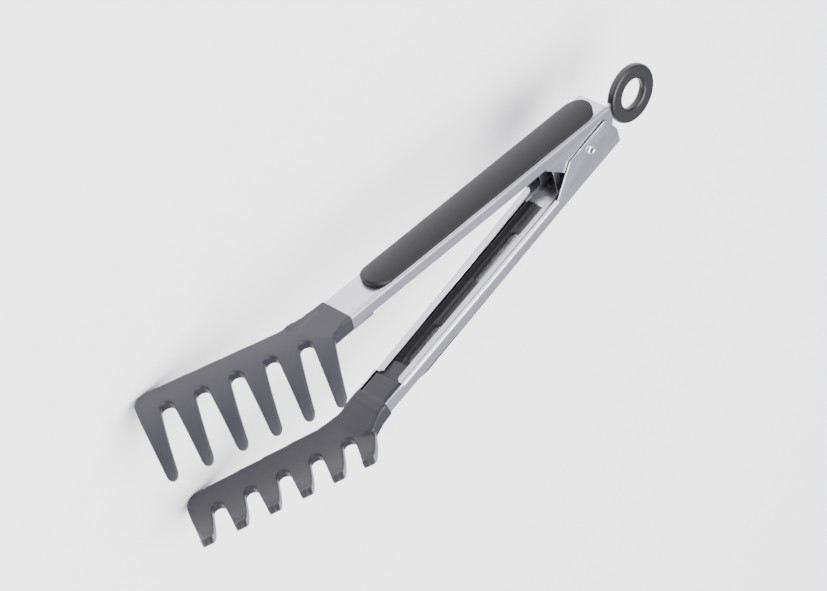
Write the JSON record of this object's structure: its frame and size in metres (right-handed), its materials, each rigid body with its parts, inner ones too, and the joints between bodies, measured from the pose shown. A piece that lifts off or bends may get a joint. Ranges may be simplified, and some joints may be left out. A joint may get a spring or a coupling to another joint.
{
  "type": "spring loaded kitchen tongs",
  "caption": "Hinged kitchen tongs with folded steel arms, soft grip backs, curved comb heads for pasta, an opening spring and a sliding lock with a hanging ring.",
  "frame": {"origin": "under the middle of the tongs' whole length, on the plane that the lower corners of the two combs rest on, with the tongs open and lying on their side", "axes": "+X runs from the hanging ring to the combs along the middle plane of the tongs; the arms open along Y, the outer arm towards +Y; +Z is the hinge axis, the way the comb teeth rise"},
  "size_m": [0.3074, 0.0764, 0.0714],
  "materials": {
    "arm_steel": "satin",
    "rivet_steel": "polished",
    "spring_wire": "bright drawn",
    "slider_steel": "satin",
    "ring_plastic": "satin",
    "head_nylon": "satin",
    "rail_plastic": "satin",
    "pad_rubber": "soft matte"
  },
  "bodies": {
    "outer_side": {"outer_arm": "arm_steel", "outer_head": "head_nylon", "outer_grip_rail": "rail_plastic", "outer_grip_pad": "pad_rubber", "hinge_pin": "rivet_steel", "torsion_spring": "spring_wire"},
    "inner_side": {"inner_arm": "arm_steel", "inner_head": "head_nylon", "inner_grip_rail": "rail_plastic", "inner_grip_pad": "pad_rubber"},
    "lock": {"lock_slider": "slider_steel", "hanging_ring": "ring_plastic"}
  },
  "joints": [
    {"name": "squeeze", "type": "hinge", "parent": "outer_side", "child": "inner_side", "pos_m": [-0.09919, 0, 0.03991], "axis": [0, 0, 1], "range_deg": [0, 9.15], "stiffness_Nm_per_rad": 0.6, "springref_deg": -20.05, "deforming": ["torsion_spring"]},
    {"name": "lock_pull", "type": "slide", "parent": "inner_side", "child": "lock", "axis": [-0.9962, 0.0872, 0], "range_m": [0, 0.008]}
  ]
}
